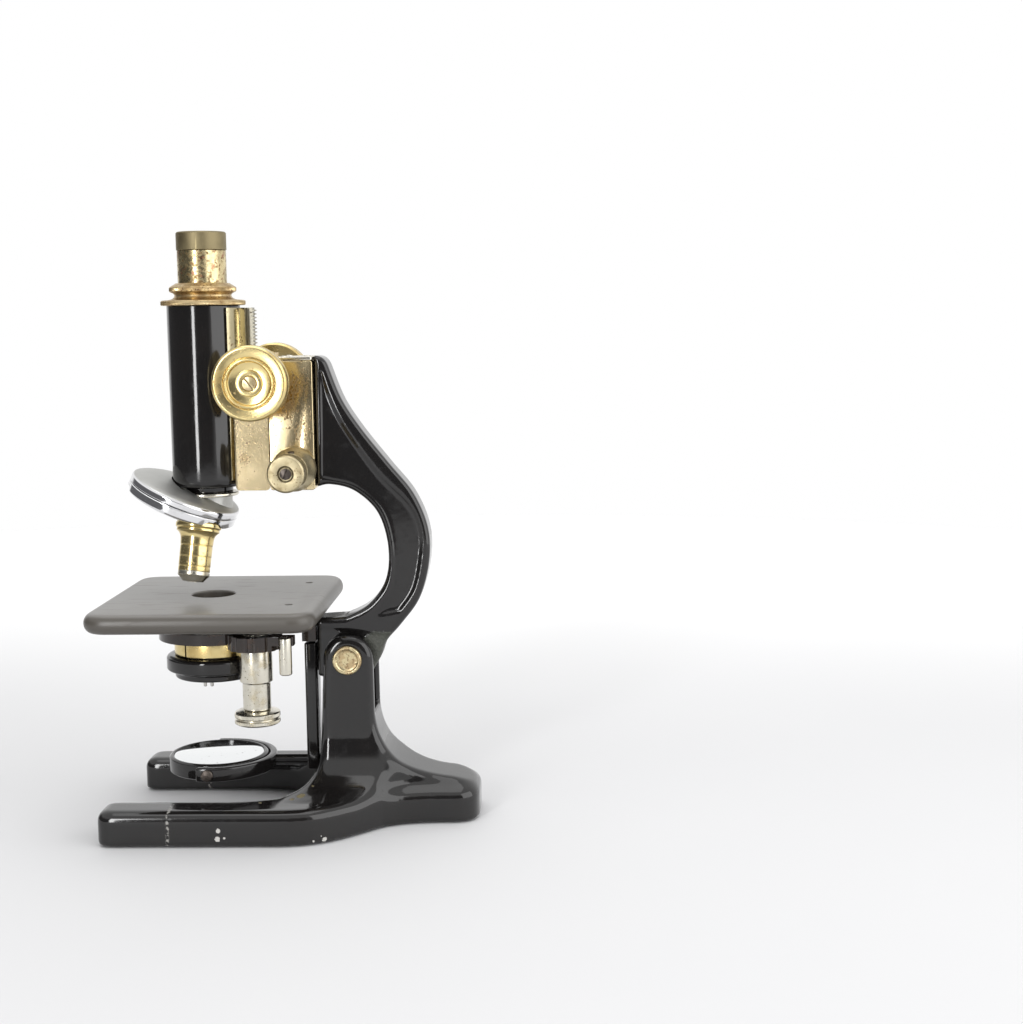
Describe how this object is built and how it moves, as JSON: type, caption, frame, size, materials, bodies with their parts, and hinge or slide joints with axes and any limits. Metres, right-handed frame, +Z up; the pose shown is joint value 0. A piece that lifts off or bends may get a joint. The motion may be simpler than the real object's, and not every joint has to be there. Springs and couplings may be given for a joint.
{
  "type": "microscope",
  "caption": "Brass and black enamel student microscope with horseshoe foot, inclining limb, rack focusing, nosepiece, square stage, condenser and mirror.",
  "frame": {"origin": "table height, under the middle of the object's length and width", "axes": "+Z up along the body tube, +X from the stage front towards the limb and the heel of the foot, +Y to the far side"},
  "size_m": [0.1974, 0.1266, 0.3122],
  "materials": {
    "black_enamel": "gloss black stoving enamel, chipped at the edges",
    "vulcanite": "dull black hard rubber, faded warm grey with a brown edge",
    "gold_brass": "polished lacquered brass",
    "dull_brass": "satin brass with brown tarnish spots",
    "spotted_brass": "mottled tarnished brass",
    "chrome": "bright chromium plate",
    "nickel": "worn yellowish nickel plate",
    "steel": "turned steel",
    "optical_glass": "polished glass",
    "silvered_mirror": "silvered glass"
  },
  "bodies": {
    "foot": {"foot_casting": "black_enamel", "inclination_bolt": "steel", "left_pivot_cap": "dull_brass", "right_pivot_cap": "dull_brass"},
    "limb": {"limb_casting": "black_enamel", "focus_block": "dull_brass", "focus_block_cap": "nickel", "fine_bearing_near": "dull_brass", "fine_bearing_far": "dull_brass", "stage_plate": "vulcanite", "stage_bracket": "black_enamel", "substage_post": "steel", "tailpiece": "black_enamel"},
    "fine_spindle": {"fine_shaft": "steel", "fine_knob_near": "dull_brass", "fine_knob_far": "dull_brass"},
    "wedge": {"fine_wedge": "steel"},
    "fine_carriage": {"coarse_block": "dull_brass", "fine_follower": "steel"},
    "pinion": {"pinion_shaft": "steel", "coarse_knob_near": "gold_brass", "coarse_knob_far": "gold_brass", "coarse_knob_screw_near": "gold_brass", "coarse_knob_screw_far": "gold_brass"},
    "tube": {"body_tube": "black_enamel", "tube_slide": "dull_brass", "rack": "steel", "top_collar": "gold_brass", "nosepiece_ring": "nickel", "nosepiece_plate": "chrome", "nosepiece_screw": "chrome"},
    "nosepiece": {"nosepiece_disc": "chrome", "objective_body": "gold_brass", "objective_nose": "nickel", "objective_front_lens": "optical_glass", "objective_back_lens": "optical_glass"},
    "drawtube_slide": {"drawtube": "spotted_brass"},
    "eyepiece": {"eyepiece_body": "spotted_brass", "eye_lens": "optical_glass", "field_lens": "optical_glass", "field_stop": "steel"},
    "substage": {"substage_sleeve": "nickel"},
    "substage_screw": {"substage_knob": "nickel"},
    "condenser": {"condenser_arm": "black_enamel", "arm_handle": "nickel", "condenser_sleeve": "gold_brass", "condenser_top_lens": "optical_glass", "condenser_bottom_lens": "optical_glass", "iris_housing": "black_enamel"},
    "iris": {"iris_ring": "steel"},
    "fork": {"mirror_fork": "black_enamel", "mirror_pivot_near": "steel", "mirror_pivot_far": "steel"},
    "mirror": {"mirror_frame": "black_enamel", "plane_mirror": "silvered_mirror", "concave_mirror": "silvered_mirror"}
  },
  "joints": [
    {"name": "inclination", "type": "hinge", "parent": "foot", "child": "limb", "pos_m": [0.03015, 0, 0.0877], "axis": [0, 1, 0], "range_deg": [0, 90]},
    {"name": "fine_spin", "type": "hinge", "parent": "limb", "child": "fine_spindle", "pos_m": [0.00455, 0, 0.1887], "axis": [0, 1, 0], "range_deg": [-1446, 1446]},
    {"name": "wedge_slide", "type": "slide", "parent": "limb", "child": "wedge", "axis": [0, 1, 0], "range_m": [-0.0041, 0.0041]},
    {"name": "fine_slide", "type": "slide", "parent": "limb", "child": "fine_carriage", "axis": [0, 0, 1], "range_m": [-0.0012, 0.0012]},
    {"name": "coarse_slide", "type": "slide", "parent": "fine_carriage", "child": "tube", "axis": [0, 0, 1], "range_m": [-0.0045, 0.045]},
    {"name": "pinion_spin", "type": "hinge", "parent": "fine_carriage", "child": "pinion", "pos_m": [-0.01275, 0, 0.2345], "axis": [0, 1, 0], "range_deg": [-74, 718]},
    {"name": "nosepiece_turn", "type": "hinge", "parent": "tube", "child": "nosepiece", "pos_m": [-0.04335, 0, 0.2056], "axis": [-0.3966, 0.0417, -0.9171], "continuous": true},
    {"name": "drawtube_pull", "type": "slide", "parent": "tube", "child": "drawtube_slide", "axis": [0, 0, 1], "range_m": [-0.016, 0.05]},
    {"name": "eyepiece_lift", "type": "slide", "parent": "drawtube_slide", "child": "eyepiece", "axis": [0, 0, 1], "range_m": [0, 0.04]},
    {"name": "substage_focus", "type": "slide", "parent": "limb", "child": "substage", "axis": [0, 0, 1], "range_m": [-0.008, 0.0005]},
    {"name": "substage_screw_turn", "type": "hinge", "parent": "substage", "child": "substage_screw", "pos_m": [-0.01685, -0.025, 0.0593], "axis": [0, 0, 1], "range_deg": [-1925, 125]},
    {"name": "condenser_swing", "type": "hinge", "parent": "substage", "child": "condenser", "pos_m": [-0.01685, -0.025, 0.1], "axis": [0, 0, 1], "range_deg": [0, 75]},
    {"name": "iris_lever", "type": "hinge", "parent": "condenser", "child": "iris", "pos_m": [-0.04335, 0, 0.0826], "axis": [0, 0, 1], "range_deg": [-35, 35]},
    {"name": "fork_turn", "type": "hinge", "parent": "limb", "child": "fork", "pos_m": [0.00965, 0, 0.0293], "axis": [1, 0, 0], "range_deg": [-50, 50]},
    {"name": "mirror_tilt", "type": "hinge", "parent": "fork", "child": "mirror", "pos_m": [-0.04335, 0, 0.0293], "axis": [0, 1, 0], "continuous": true}
  ],
  "couplings": [
    {"joint": "fine_spin", "follows": "fine_slide", "rad_per_m": 20944},
    {"joint": "wedge_slide", "follows": "fine_slide", "ratio": -3.3333},
    {"joint": "pinion_spin", "follows": "coarse_slide", "rad_per_m": 277.78},
    {"joint": "substage_screw_turn", "follows": "substage_focus", "rad_per_m": 4188.8}
  ]
}
